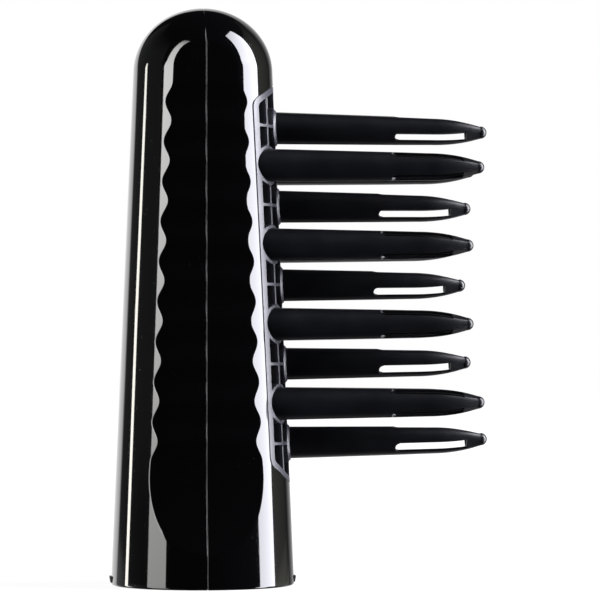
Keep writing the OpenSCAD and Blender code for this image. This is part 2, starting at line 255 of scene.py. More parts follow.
def runout(z, start):
    """Panel distance below the ripple, where the panel sweeps out through the surface."""
    drop = np.clip(RIPPLE_LOW_Z - RUNOUT_DROP - z, 0, RUNOUT_R - 1)
    return start + RUNOUT_R - np.sqrt(RUNOUT_R**2 - drop**2)


def panel_out(z):
    wave = np.cos(2 * np.pi * (z - RIPPLE_MID_Z) / ROW_PITCH)
    high = panel_mean(z) + RIPPLE_H * np.where(z > RIPPLE_HIGH_Z, 1, wave)
    return np.where(z < RIPPLE_LOW_Z, runout(z, panel_mean(RIPPLE_LOW_Z) - RIPPLE_H), high)


def panel_in(z):
    skin = WALL + RIPPLE_H
    high = panel_mean(z) - skin
    return np.where(z < RIPPLE_LOW_Z, runout(z, panel_mean(RIPPLE_LOW_Z) - skin), high)


# Distance s along the body's profile: across the rim's flat foot, up its rounding, up the
# cone, where s is the height, then over the dome by DOME_PACE for each radian
RIM_START = RIM_ROUND * (1 - math.pi / 2)
FOOT_W = 0.8
DOME_PACE = 22.0


def profile(s, inset):
    """Radius and height of the plain round body at s, or of its inner face."""
    dome = DOME_TURN + (s - DOME_JOIN_Z) / DOME_PACE
    edge = np.clip((s - RIM_ROUND) / RIM_ROUND, -np.pi / 2, 0)
    middle = body_r(RIM_ROUND) - RIM_ROUND
    rim_r = middle + RIM_ROUND * np.cos(edge) + np.minimum(s - RIM_START, 0)
    rim_z = RIM_ROUND * (1 + np.sin(edge))
    in_rim = (s < RIM_ROUND) & (inset == 0)
    r = np.where(in_rim, rim_r, body_r(s) - inset)
    z = np.where(in_rim, rim_z, s)
    over = s > DOME_JOIN_Z
    r = np.where(over, (DOME_R - inset) * np.cos(dome), r)
    return r, np.where(over, DOME_Z + (DOME_H - inset) * np.sin(dome), z)


def soft_min(a, b, k):
    near = np.maximum(k - np.abs(a - b), 0) / k
    return np.minimum(a, b) - near * near * k / 4


def surface(phi, s, inset=0):
    """Points of the body at angle phi from +X and profile distance s."""
    r, z = profile(s, inset)
    far = BULGE_Y + (panel_in(z) if inset else panel_out(z))
    across = -BULGE_Y * np.abs(np.sin(phi)) + np.sqrt(far**2 - (BULGE_Y * np.cos(phi)) ** 2)
    r = soft_min(r, across, INNER_CREASE_SOFT if inset else CREASE_SOFT)
    return np.stack([r * np.cos(phi), r * np.sin(phi), z + 0 * phi], axis=-1)


def surface_normal(phi, s, inset=0):
    h = 1e-4
    around = surface(phi + h, s, inset) - surface(phi - h, s, inset)
    up = surface(phi, s + h, inset) - surface(phi, s - h, inset)
    return unit(np.cross(around, up)) * (-1 if inset else 1)


def on_cone(yz, depth):
    """Points and outward normals on the body's cone, at a depth below its surface."""
    y, z = yz[..., 0], yz[..., 1]
    r = body_r(z) - depth
    x = np.sqrt(r * r - y * y)
    return np.stack([x, y, z], axis=-1), unit(np.stack([x, y, TAPER * r], axis=-1))


def closing(inside, outside):
    """Height between two others at which the panel meets the body's plain surface."""
    for _ in range(40):
        mid = (inside + outside) / 2
        sunk = panel_out(np.array(mid)) < profile(np.array(mid), 0)[0]
        inside, outside = (mid, outside) if sunk else (inside, mid)
    return (inside + outside) / 2


def spaced(start, end, step):
    return np.linspace(start, end, max(2, int(round(abs(end - start) / step)) + 1))


# ---- The grille's outline, in Y and Z ----

# Length at each end of a side over which its points are spaced to reach round the corner
CORNER_REACH = 14.0


def side_out():
    """Direction square to the outline's straight +Y side, pointing out."""
    lean = math.atan((GRILLE_LOW_Y - GRILLE_HIGH_Y) / (corner_z(1) - corner_z(-1)))
    return np.array([math.cos(lean), math.sin(lean)])


def outline_end(end):
    """The arch's centre, its turn up to the corner, the corner's centre, and the corner's
    last turn, for the lower end (-1) or the upper end (1)."""
    square = side_out()
    start = np.array([GRILLE_LOW_Y, corner_z(-1)])
    middle = np.array([0, GRILLE_LOW_Z + ARCH_R if end < 0 else GRILLE_HIGH_Z - ARCH_R])
    low, high = 0.0, math.pi / 2
    for _ in range(50):
        turn = (low + high) / 2
        knee = middle + (ARCH_R - CORNER_R) * np.array([math.sin(turn), end * math.cos(turn)])
        low, high = (turn, high) if (knee - start) @ square < -CORNER_R else (low, turn)
    return middle, turn, knee, math.acos(end * square[1])


def outline(bottom, side):
    """Points and outward normals round the outline. bottom holds places from -1 to 1 along
    each arched end, and side heights. Runs along the bottom, up +Y, back and down -Y."""
    ends = {end: outline_end(end) for end in (-1, 1)}
    square = side_out()

    def arched(t, end):
        middle, turn, knee, side_turn = ends[end]
        length = ARCH_R * turn + CORNER_R * (side_turn - turn) / 2
        along = np.abs(t) * length
        beyond = along - ARCH_R * turn
        angle = np.where(beyond < 0, along / ARCH_R, turn + beyond / CORNER_R)
        way = np.stack([np.sin(angle), end * np.cos(angle)], axis=-1)
        spot = np.where((beyond < 0)[:, None], middle + ARCH_R * way, knee + CORNER_R * way)
        flip = np.stack([np.where(t < 0, -1, 1), np.ones(len(t))], axis=-1)
        return spot * flip, way * flip

    def upright(z):
        """Points up the +Y side, whose ends turn half way round the corners."""
        knees = [ends[end][2] + CORNER_R * square for end in (-1, 1)]
        half = [CORNER_R * (ends[end][3] - ends[end][1]) / 2 for end in (-1, 1)]
        length = np.linalg.norm(knees[1] - knees[0])
        low, high = z[0] + CORNER_REACH, z[-1] - CORNER_REACH
        reach = [z[0], low, high, z[-1]]
        place = [-half[0], low - knees[0][1], high - knees[0][1], length + half[1]]
        v = np.interp(z, reach, place)
        spot = knees[0] + np.clip(v, 0, length)[:, None] * (knees[1] - knees[0]) / length
        way = np.tile(square, (len(v), 1))
        for end, past in ((-1, -v), (1, v - length)):
            turned = ends[end][3] - past / CORNER_R
            bend = np.stack([np.sin(turned), end * np.cos(turned)], axis=-1)
            spot = np.where((past > 0)[:, None], ends[end][2] + CORNER_R * bend, spot)
            way = np.where((past > 0)[:, None], bend, way)
        return spot, way

    right, right_way = upright(side)
    parts = [arched(bottom, -1), (right, right_way), arched(bottom[::-1], 1),
             (right[::-1] * MIRROR, right_way[::-1] * MIRROR)]
    return (np.concatenate([p[0][:-1] for p in parts]),
            np.concatenate([p[1][:-1] for p in parts]))


def grille_half(z):
    """Half width of the grille at a height, along its straight sides."""
    share = (z - corner_z(-1)) / (corner_z(1) - corner_z(-1))
    return GRILLE_LOW_Y + (GRILLE_HIGH_Y - GRILLE_LOW_Y) * share


def corner_z(end):
    """Height at which an arched end would meet the side if the corner were sharp."""
    if end < 0:
        return GRILLE_LOW_Z + ARCH_R - math.sqrt(ARCH_R**2 - GRILLE_LOW_Y**2)
    return GRILLE_HIGH_Z - ARCH_R + math.sqrt(ARCH_R**2 - GRILLE_HIGH_Y**2)


# ---- Shells ----

PANEL_COLUMNS = 10
LAND_COLUMNS = 8
LAND_MARGIN = 1.0
CREASE_STEP = 0.15
CREASE_TO_SEAM = 0.5
WINDOW_LOW_S = 31.6
WINDOW_HIGH_S = 166.0
# Radius of the last row, round the crown's single vertex
CROWN_R = 2.0
# Height at which the inner face starts
INNER_FOOT_Z = 0.3
# Height at which the snap barb's width is measured, and its columns' spacing as a share
BARB_LEVEL_Z = 2.0
BARB_SPREAD = 0.12


def shell_rows():
    """Profile distances of the shell's rows, close together where a panel runs out."""
    low, high = closing(20.0, 5.0), closing(170.0, 186.0)
    pole = DOME_JOIN_Z + DOME_PACE * (math.acos(CROWN_R / DOME_R) - DOME_TURN)
    # Where each stretch of rows starts, and their spacing in it
    starts = [(RIM_START - FOOT_W, 0.5), (RIM_START, 0.25), (RIM_ROUND, 0.8), (BARB_HIGH_Z, 1.0),
              (low - 1, 0.2), (low + 2.5, 0.9), (WINDOW_LOW_S, 0.85), (WINDOW_HIGH_S, 0.8),
              (high - 2.5, 0.12), (high + 0.6, 0.8)]
    ends = [start for start, _ in starts[1:]] + [pole]
    spans = [spaced(start, end, step) for (start, step), end in zip(starts, ends)]
    return np.concatenate([spans[0]] + [span[1:] for span in spans[1:]])


def shell_columns(s):
    """Angle of each column in each row, and the column where the grille's window starts.
    Columns follow the panels' creases."""
    r, z = profile(s, 0)
    far = BULGE_Y + panel_out(z)
    lean = (far**2 - BULGE_Y**2 - r**2) / (2 * BULGE_Y * r)
    crease = np.pi / 2 - np.arcsin(np.clip(lean, -1, 1))
    edge = np.arcsin((SEAM_ROUND + SEAM_GAP) / np.minimum(r, panel_out(z)))
    crease = np.sqrt(crease**2 + (edge + CREASE_TO_SEAM / r) ** 2)
    step = np.minimum(CREASE_STEP / r, (crease - edge) / 8)
    level = np.clip(z, 0, DOME_JOIN_Z)
    half = grille_half(level) + LAND_MARGIN
    land = np.pi / 2 - np.arcsin(half / body_r(level))
    columns = [np.linspace(edge, crease - 3 * step, PANEL_COLUMNS + 1),
               [crease + k * step for k in range(-2, 3)],
               np.linspace(crease + 3 * step, land, LAND_COLUMNS + 1)]
    side = np.pi / 2 - np.concatenate(columns).T
    barb = math.asin(BARB_HALF_W / body_r(BARB_LEVEL_Z)) / side[0, -1]
    shares = spaced(barb, 1, BARB_SPREAD)
    spread = np.concatenate([shares[::-1], np.array([0.0]), -shares])
    middle = side[:, -1:] * spread[None, 1:-1]
    return np.concatenate([side, middle, -side[:, ::-1]], axis=1), side.shape[1] - 1


def nearest(values, wanted):
    return int(np.argmin(np.abs(values - wanted)))


def border_of(grid, r0, r1, c0, c1):
    """What a grid holds round the border of a block of its rows and columns, in order."""
    return np.concatenate([grid[r0, c0:c1], grid[r0:r1, c1], grid[r1, c1:c0:-1],
                           grid[r1:r0:-1, c0]])


def shell(name, material, turned):
    """One half of the body: outer and inner skin, joined round every edge. The rear half is
    turned round, and has no window for the grille."""
    shape = Shape()
    s = shell_rows()
    phi, first = shell_columns(s)
    rows = s[:, None] + 0 * phi
    outer = shape.add(surface(phi, rows), surface_normal(phi, rows))
    inner = inner_skin(shape, s, phi)

    # Blocks of cells left out: the snap barb's window, and in front the grille's window
    centre = phi.shape[1] // 2
    barb = (nearest(s, RIM_ROUND), nearest(s, BARB_HIGH_Z), centre - 1, centre + 1)
    window = (nearest(s, WINDOW_LOW_S), nearest(s, WINDOW_HIGH_S), first, phi.shape[1] - 1 - first)
    skip = np.zeros((len(s) - 1, phi.shape[1] - 1), bool)
    for r0, r1, c0, c1 in [barb] if turned else [barb, window]:
        skip[r0:r1, c0:c1] = True
    shape.sheet(outer, skip=skip)
    shape.sheet(inner, skip=skip)

    hole = border_of(outer, *barb)
    into = shape.inward(hole, shape.at(hole)[0].mean(axis=0))
    shape.sheet([shape.rim(hole, into, BARB_ROUND), border_of(inner, *barb)], closed=True)
    seam_edge(shape, outer, inner)
    if turned:
        flip = np.array([-1, -1, 1])
        shape.points = [p * flip for p in shape.points]
        shape.normals = [n * flip for n in shape.normals]
    else:
        grille_window(shape, outer, inner, phi, rows, window)
    shape.piece(name, material, "gloss_black", name)


def inner_skin(shape, s, phi):
    """The body's inner face, on the same rows and columns, from just above the foot."""
    s = np.where(s < RIM_ROUND, np.interp(s, [s[0], RIM_ROUND], [INNER_FOOT_Z, RIM_ROUND]), s)
    phi = phi.copy()
    reach = np.hypot(*surface(phi[:, 0], s, WALL)[:, :2].T)
    phi[:, 0] = np.arccos(SEAM_GAP / reach)
    phi[:, -1] = -phi[:, 0]
    rows = s[:, None] + 0 * phi
    return shape.add(surface(phi, rows, WALL), surface_normal(phi, rows, WALL))


def seam_edge(shape, outer, inner):
    """Closes the crown, and joins the skins along the seam's rounded edge and the foot."""
    crown = shape.add([[SEAM_ROUND + SEAM_GAP, 0, BODY_H]], [[0, 0, 1]])[0]
    crown_in = shape.add([[SEAM_GAP, 0, BODY_H - WALL]], [[0, 0, -1]])[0]
    for ids, top in ((outer, crown), (inner, crown_in)):
        shape.sheet([ids[-1], np.full(len(ids[-1]), top)])
    seam = np.concatenate([outer[:, 0], [crown], outer[::-1, -1]])
    seam_in = np.concatenate([inner[:, 0], [crown_in], inner[::-1, -1]])
    edge = shape.rim(seam, np.array([-1.0, 0, 0]), SEAM_ROUND, closed=False)
    shape.sheet([edge, seam_in])
    shape.sheet([outer[0], inner[0]])
    rounds = [edge - k * len(seam) for k in reversed(range(EDGE_STEPS))]
    # The seam's ends at the foot, which face each other
    for end, way in ((0, -1), (-1, 1)):
        fan = [outer[0, end], *(ring[end] for ring in rounds), inner[0, end]]
        shape.triangles([[fan[0], fan[k], fan[k + 1]][::way] for k in range(1, len(fan) - 1)])


def grille_window(shape, outer, inner, phi, rows, block):
    """The window's edge: rounded over, down to the ledge under the grille, and through."""
    r0, r1, c0, c1 = block
    heights = profile(rows[r0:r1 + 1, c0], 0)[1]
    spot, way = (part * MIRROR for part in outline(np.linspace(-1, 1, c1 - c0 + 1), heights))
    places = [border_of(grid, *block) for grid in (phi, rows)]
    grown = spot + (DROP_GAP + WINDOW_ROUND) * way
    window = window_rings(shape, border_of(outer, *block), *places, grown, 0)
    into = shape.inward(window, np.array([0, 0, (GRILLE_LOW_Z + GRILLE_HIGH_Z) / 2]))
    walls = [shape.rim(window, into, WINDOW_ROUND)]
    for grow in (DROP_GAP, -LEDGE_W):
        place, out = on_cone(spot + grow * way, LEDGE_DEPTH)
        walls.append(shape.add(place, unit(out + into)))
    inside = border_of(inner, *block)
    walls.append(window_rings(shape, inside, *places, spot - LEDGE_W * way, WALL))
    shape.sheet(walls, closed=True)


def window_rings(shape, ring, phi, s, yz, inset):
    """Rings of vertices between a frame of cells and an outline on the cone."""
    place, _ = on_cone(yz, inset)
    to_phi = np.arctan2(place[:, 1], place[:, 0])
    rings = [ring]
    for share in (1 / 3, 2 / 3, 1):
        p = phi + (to_phi - phi) * share
        q = s + (yz[:, 1] - s) * share
        rings.append(shape.add(surface(p, q, inset), surface_normal(p, q, inset)))
    shape.sheet(rings, closed=True)
    return rings[-1]


# ---- Grille ----

COLLAR_FOOT_R = 6.35
COLLAR_TOP_R = 5.8
COLLAR_H = 0.6
HOLE_ROUND = 0.15
HOLE_R = 5.4
CELL_COLLAR_R = 6.5
JUNCTION_SOFT = 0.5
GRILLE_STEP = 0.3
# Margin at the sides of the area in which the cells are looked for
SEARCH_MARGIN = 2.0
BORDER_STEPS = 60
BORDER_STEP = 1.2
CIRCLE_STEPS = 72
COLLAR_STEPS = 6
# Least distance in Y from a side finger's rings to the grille's edge
FACE_EDGE = 0.3
# Gap between the grille's rim and the ledge below it
LEDGE_GAP = 0.05
POST_STEPS = 32
POST_R = 2.2
POST_NECK_R = 1.0
POST_NECK_H = 3.0
POST_DEPTH = 1.9


def finger_spots():
    """For each finger: CAD name, column side, row number, Y and Z of its axis, and tip X."""
    found = []
    for node in sorted(frame["nodes"]):
        if not node.startswith("finger_") or not node[-1].isdigit():
            continue
        low, high = (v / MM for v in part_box(node))
        y = (low.y + high.y) / 2
        row = round(((low.z + high.z) / 2 - ROW_MID_Z) / ROW_PITCH)
        found.append((node, round(y / COLUMN_Y), row, y, ROW_MID_Z + row * ROW_PITCH, high.x))
    return found


def outline_distance(yz):
    """Signed distance to the grille's outline, in Y and Z: below 0 inside."""
    y, z = np.abs(yz[..., 0]), yz[..., 1]
    out = side_out()
    up = (-out[1], out[0])
    away = (y - GRILLE_LOW_Y) * out[0] + (z - corner_z(-1)) * out[1]
    found = away
    for end in (-1, 1):
        middle, turn, knee, _ = outline_end(end)
        past = np.hypot(y, z - middle[1]) - ARCH_R
        found = np.where(end * (z - middle[1]) > 0, np.maximum(found, past), found)
        dy, dz = y - knee[0], z - knee[1]
        corner = ((dy * up[0] + dz * up[1]) * end > 0) & (
            dy * math.cos(turn) - end * dz * math.sin(turn) > 0)
        found = np.where(corner, np.hypot(dy, dz) - CORNER_R, found)
    return found


def grille_distance(yz):
    """Signed distance to the frame, ribs and finger collars: below 0 in the material."""
    y, z = yz[..., 0], yz[..., 1]
    found = -(outline_distance(yz) + FRAME_W)
    for rib_y in (-COLUMN_Y, 0, COLUMN_Y):
        found = soft_min(found, np.abs(y - rib_y) - UPRIGHT_RIB_W / 2, JUNCTION_SOFT)
    for row_z in sorted({spot[4] for spot in SPOTS}):
        found = soft_min(found, np.abs(z - row_z) - LEVEL_RIB_W / 2, JUNCTION_SOFT)
    for _, _, _, finger_y, row_z, _ in SPOTS:
        found = soft_min(found, np.hypot(y - finger_y, z - row_z) - CELL_COLLAR_R, JUNCTION_SOFT)
    return found


def slope_of(field, yz):
    h = 1e-3
    dy = field(yz + [h, 0]) - field(yz - [h, 0])
    dz = field(yz + [0, h]) - field(yz - [0, h])
    return np.stack([dy, dz], axis=-1) / (2 * h)


def contours(field, low, high, step):
    """Closed loops of evenly spaced points where a field of Y and Z crosses zero."""
    ys, zs = np.arange(low[0], high[0], step), np.arange(low[1], high[1], step)
    grid = np.stack(np.meshgrid(ys, zs, indexing="ij"), axis=-1)
    inside = field(grid) > 0
    counts = sum(inside[i:len(ys) - 1 + i, j:len(zs) - 1 + j].astype(int)
                 for i in (0, 1) for j in (0, 1))
    links = {}
    for i, j in np.argwhere((counts > 0) & (counts < 4)).tolist():
        ring = [(i, j), (i + 1, j), (i + 1, j + 1), (i, j + 1)]
        cross = [tuple(sorted(pair)) for pair in zip(ring, ring[1:] + ring[:1])
                 if inside[pair[0]] != inside[pair[1]]]
        for p, q in zip(cross[::2], cross[1::2]):
            links.setdefault(p, []).append(q)
            links.setdefault(q, []).append(p)
    loops = []
    while links:
        start = min(links)
        before, here, edges = start, links.pop(start)[0], [start]
        while here != start:
            edges.append(here)
            onward = [e for e in links.pop(here) if e != before]
            before, here = here, onward[0]
        points = np.array([(grid[a] + grid[b]) / 2 for a, b in edges])
        for _ in range(4):
            points = settle(field, points)
        loop = np.concatenate([points, points[:1]])
        gone = np.concatenate([[0], np.cumsum(np.linalg.norm(np.diff(loop, axis=0), axis=1))])
        count = max(12, int(gone[-1] / step))
        even = np.linspace(0, gone[-1], count, endpoint=False)
        points = np.stack([np.interp(even, gone, loop[:, k]) for k in (0, 1)], axis=-1)
        loops.append(settle(field, points))
    return loops


def face_triangles(loops):
    """Triangles that fill the first loop and leave out the others, as numbers of their points
    taken in order."""
    flat = np.concatenate(loops)
    starts = np.cumsum([0] + [len(loop) for loop in loops])
    edges = [(a, a + 1 if a + 1 < end else start)
             for start, end in zip(starts, starts[1:]) for a in range(start, end)]
    made = geometry.delaunay_2d_cdt([Vector(p) for p in flat], edges, [], 1, 1e-6)
    faces = np.array([of[0] for of in made[3]])[np.array(made[2])]
    owner = np.searchsorted(starts, faces, side="right") - 1
    keep = np.ones(len(faces), bool)
    for k in np.flatnonzero(np.ptp(owner, axis=1) == 0):
        loop, spot = loops[owner[k, 0]], flat[faces[k]].mean(axis=0)
        after = np.roll(loop, -1, axis=0)
        level = (loop[:, 1] > spot[1]) != (after[:, 1] > spot[1])
        share = (spot[1] - loop[level, 1]) / (after[level, 1] - loop[level, 1])
        crossed = loop[level, 0] + share * (after[level, 0] - loop[level, 0]) > spot[0]
        keep[k] = (crossed.sum() % 2 == 1) == (owner[k, 0] == 0)
    return faces[keep]


def settle(field, yz):
    """Moves points onto the line where the field is zero."""
    slope = slope_of(field, yz)
    size = np.maximum(np.sum(slope * slope, axis=-1, keepdims=True), 0.1)
    return yz - field(yz)[:, None] * slope / size


def finger_grille(material):
    """The curved lattice with rounded edges, a collar round each finger, and screw posts."""
    shape = Shape()
    tops, bottoms, places = [], [], []
    for yz, way, edge in grille_edges():
        rings = grille_wall(shape, yz, way, edge)
        tops.append(rings[0])
        bottoms.append(rings[-1])
        places.append(yz - way * RIB_ROUND)
    for _, side, _, finger_y, row_z, _ in SPOTS:
        rings, foot = finger_hole(shape, side, np.array([finger_y, row_z]))
        tops.append(rings[0])
        bottoms.append(rings[-1])
        places.append(foot)
    faces = face_triangles(places)
    shape.triangles(np.concatenate(tops)[faces])
    shape.triangles(np.concatenate(bottoms)[faces])

    for _, side, _, _, row_z, _ in SPOTS:
        if side == 1:
            top = body_r(row_z) - POST_DEPTH
            lathe(shape, [(FLANGE_BACK_X, 0, -1, 0), (FLANGE_BACK_X, POST_R, 0, 1),
                          (top - POST_NECK_H, POST_R, 0.2, 1), (top, POST_NECK_R, 0.4, 1),
                          (top, 0, 1, 0)], [0, 0, row_z], POST_STEPS)
    shape.piece("finger_grille", material, "grille_black", "finger_grille")


def grille_edges():
    """The grille's border and cells: their points in Y and Z, the directions there out of the
    material, and the rings under the rounded edge as (growth, depth, turn to face inwards)."""
    rest = LEDGE_DEPTH - LEDGE_GAP
    step = -LEDGE_W - DROP_GAP
    border = outline(np.linspace(-1, 1, BORDER_STEPS + 1),
                     spaced(corner_z(-1), corner_z(1), BORDER_STEP))
    edges = [(*border, [(0, rest, 0.5), (step, rest, 0.5), (step, WALL, 0.5)])]
    reach = [GRILLE_HIGH_Y + SEARCH_MARGIN, GRILLE_HIGH_Z]
    for cell in contours(grille_distance, [-reach[0], GRILLE_LOW_Z], reach, GRILLE_STEP):
        edges.append((cell, unit(slope_of(grille_distance, cell)), [(0, WALL, 1)]))
    return edges


def grille_wall(shape, yz, way, edge):
    """Rings from the face over a rounded edge and down to the back."""
    rings = []
    across = np.concatenate([np.zeros((len(yz), 1)), way], axis=1)
    for turn in np.linspace(0, math.pi / 2, EDGE_STEPS + 1):
        spot, out = on_cone(yz - way * RIB_ROUND * (1 - math.sin(turn)),
                            RIB_ROUND * (1 - math.cos(turn)))
        rings.append(shape.add(spot, unit(out * math.cos(turn) + across * math.sin(turn))))
    for grow, depth, mix in edge:
        spot, out = on_cone(yz + way * grow, depth)
        rings.append(shape.add(spot, unit(across * (1 - mix) - out * mix)))
    shape.sheet(rings, closed=True)
    return rings


def hole_profile(raised):
    """Radius, depth, and the normal's parts across and out, of each ring round a finger: up
    the raised collar if there is one, over its crown, into the hole and through."""
    turns = np.linspace(0, math.pi / 2, EDGE_STEPS + 1)
    lip = COLLAR_H if raised else 0
    steps = []
    if raised:
        flare, rise = COLLAR_FOOT_R - COLLAR_TOP_R, COLLAR_H - HOLE_ROUND
        crown = COLLAR_TOP_R - HOLE_R - HOLE_ROUND
        for t in np.linspace(0, 1, COLLAR_STEPS + 1):
            tilt = math.atan(2 * rise * t / flare)
            steps.append((COLLAR_FOOT_R - flare * t, -rise * t * t, math.sin(tilt), math.cos(tilt)))
        for t in turns[1:]:
            steps.append((HOLE_R + HOLE_ROUND + crown * math.cos(t),
                          HOLE_ROUND * (1 - math.sin(t)) - lip, math.cos(t), math.sin(t)))
    for t in turns:
        steps.append((HOLE_R + HOLE_ROUND * (1 - math.sin(t)),
                      HOLE_ROUND * (1 - math.cos(t)) - lip, -math.sin(t), math.cos(t)))
    return steps + [(HOLE_R, WALL, 0, -1)]


def finger_hole(shape, side, centre):
    """Rings round a finger, cut off beside the grille's edge, and the first one's place."""
    angle = np.linspace(0, 2 * np.pi, CIRCLE_STEPS, endpoint=False)
    circle = np.stack([np.cos(angle), np.sin(angle)], axis=-1)
    across = np.concatenate([np.zeros((CIRCLE_STEPS, 1)), circle], axis=1)
    rings, places = [], []
    for radius, depth, sideways, outward in hole_profile(not side):
        yz = centre + radius * circle
        if side:
            yz[:, 0] = side * np.minimum(side * yz[:, 0], grille_half(yz[:, 1]) - FACE_EDGE)
        spot, out = on_cone(yz, depth)
        rings.append(shape.add(spot, unit(across * sideways + out * outward)))
        places.append(yz)
    shape.sheet(rings, closed=True)
    return rings, places[0]


def lathe(shape, rows, centre, steps, axis=0, ring=False):
    """Turns rows of (place along the axis, radius, and the normal's two parts). In a ring, the
    last row joins the first."""
    angle = np.linspace(0, 2 * np.pi, steps, endpoint=False)
    around = [1, 2] if axis == 0 else [0, 1]
    rings = []
    for along, radius, n_along, n_out in rows:
        spot, out = np.zeros((steps, 3)), np.zeros((steps, 3))
        for k, wave in zip(around, (np.cos(angle), np.sin(angle))):
            spot[:, k], out[:, k] = radius * wave, n_out * wave
        spot[:, axis] = along
        out[:, axis] = n_along
        rings.append(shape.add(spot + centre, unit(out)) if radius
                     else np.full(steps, shape.add(spot[:1] + centre, unit(out[:1]))[0]))
    shape.sheet(rings + rings[:1] if ring else rings, closed=True)


# ---- Fingers ----

SLOT_COLUMNS = 8
LAND_STEPS = 9
END_ROWS = 4
NIB_STEPS = 6
THIRD = 2 * math.pi / 3
# Furthest that a slot's columns reach to each side of its middle, in radians
SLOT_REACH = 1.1
# Length before a slot over which the rows take on its round end
SLOT_LEAD = 1.8
# Length beyond the flange where the finger's own rows start
FLANGE_LEAD = 2.0
BODY_STEP = 2.2
SLOT_STEP = 1.1
NOSE_STEP = 0.45
CONE_STEP = 0.5
# How far a slot's middle is moved out to be the point that its edge turns towards
SLOT_CENTRE_OUT = 1.2
# A slight tilt of the flange's normals, which tells its front face from its back face
FLANGE_TILT = 0.01


class FingerForm:
    """The outer form of a finger along X: its places, its radius and its three flats."""

    def __init__(self, tip):
        self.tip = tip
        self.nose_x, self.cone_x, self.nib_x = tip - NOSE_LEN, tip - NIB_CONE_LEN, tip - NIB_R
        self.start_x = tip - SLOT_FROM - SLOT_LEAD
        self.round_x = tip - SLOT_FROM + SLOT_W / 2
        self.end_x = tip - SLOT_TO
        self.flat_tip = NIB_R - FLAT_DROP
        flat_root = math.sqrt(self.radius(self.end_x) ** 2 - (SLOT_W / 2) ** 2)
        self.flat_slope = (flat_root - self.flat_tip) / (SLOT_TO - FLAT_TO)

    def radius(self, x):
        body = np.interp(x, [FLANGE_BACK_X, ROOT_END_X, self.tip - SLOT_FROM, self.nose_x],
                         [FINGER_ROOT_R, FINGER_ROOT_R, FINGER_SLOT_R, FINGER_NOSE_R])
        along = np.clip((x - self.nose_x) / (NOSE_LEN - NIB_CONE_LEN), 0, 1)
        nose = FINGER_NOSE_R - (FINGER_NOSE_R - NIB_CONE_R) * along**NOSE_POWER
        cone = np.interp(x, [self.cone_x, self.nib_x], [NIB_CONE_R, NIB_R])
        return np.where(x < self.nose_x, body, np.where(x < self.cone_x, nose, cone))

    def slope(self, x):
        h = 0.2
        return (self.radius(x + h) - self.radius(x - h)) / (2 * h)

    def flat(self, x):
        """Height over the axis of the flats that carry the slots on over the nose."""
        return self.flat_tip + self.flat_slope * (self.tip - FLAT_TO - x)


def finger_grid(form, inset, edge, before, after):
    """X and angle of a skin's vertices, and its first and last row beside the slots. The rows
    run before the slots, round their root ends, beside them and beyond. The columns take one
    slot's third of the finger after another."""
    half = SLOT_W / 2 + edge
    across = np.linspace(-1, 1, SLOT_COLUMNS + 1) * half
    rows, turns = [], []

    def add_row(x_slot, x_land, reach=SLOT_REACH, exact=False):
        """The slot's columns reach as far as the slot does, or to the angle reach if that is
        less or if exact."""
        inside = np.arcsin(np.clip(across / (form.radius(x_slot) - inset), -0.99, 0.99))
        share = reach / inside[-1]
        inside = inside * (share if exact else min(1.0, share))
        land = np.linspace(inside[-1], THIRD - inside[-1], LAND_STEPS + 2)[1:-1]
        third = np.concatenate([inside, land])
        rows.append(np.tile(np.concatenate([x_slot, np.full(LAND_STEPS, x_land)]), 3))
        turns.append(np.concatenate([third + k * THIRD for k in range(3)]))

    for x in before:
        add_row(np.full(len(across), x), x)
    round_end = form.round_x - np.sqrt(np.maximum(half**2 - across**2, 0))
    for k in range(1, END_ROWS + 1):
        share = k / END_ROWS
        add_row(form.start_x + (round_end - form.start_x) * share,
                form.start_x + (form.round_x - form.start_x) * share)
    begins = len(rows) - 1
    for x in spaced(form.round_x, form.end_x + edge, SLOT_STEP)[1:]:
        add_row(np.full(len(across), x), x)
    ends = len(rows) - 1
    for x in after:
        add_row(np.full(len(across), x), x, math.acos(form.flat(x) / form.radius(x)), not inset)
    return np.array(rows), np.array(turns), begins, ends


def finger_skin(shape, form, first, inset, edge, before, after):
    """Adds the outer face, or the bore if inset, and returns its vertices and the edge of
    each slot. The first slot is at the angle first."""
    x, turn, begins, ends = finger_grid(form, inset, edge, before, after)
    turn = turn + first
    r = form.radius(x) - inset
    normal = np.stack([-form.slope(x), -np.sin(turn), np.cos(turn)], axis=-1)
    if not inset:
        # The flats start at the slots' ends and lie square to each slot's middle
        middle = first + THIRD * np.round((turn - first) / THIRD)
        level = form.flat(x) / np.cos(turn - middle)
        on_flat = (x > form.end_x) & (level < r - 1e-6)
        r = np.where(on_flat, level, r)
        facing = np.stack([0 * turn + form.flat_slope, -np.sin(middle), np.cos(middle)], axis=-1)
        normal = np.where(on_flat[..., None], facing, normal)
    spot = np.stack([x, -r * np.sin(turn), r * np.cos(turn)], axis=-1)
    ids = shape.add(spot, unit(normal) * (-1 if inset else 1))
    skip = np.zeros((len(ids) - 1, ids.shape[1]), bool)
    loops = []
    for k in range(3):
        left = k * (SLOT_COLUMNS + 1 + LAND_STEPS)
        skip[begins:ends, left:left + SLOT_COLUMNS] = True
        loops.append(border_of(ids, begins, ends, left, left + SLOT_COLUMNS))
    shape.sheet(ids, closed=True, skip=skip)
    return ids, loops


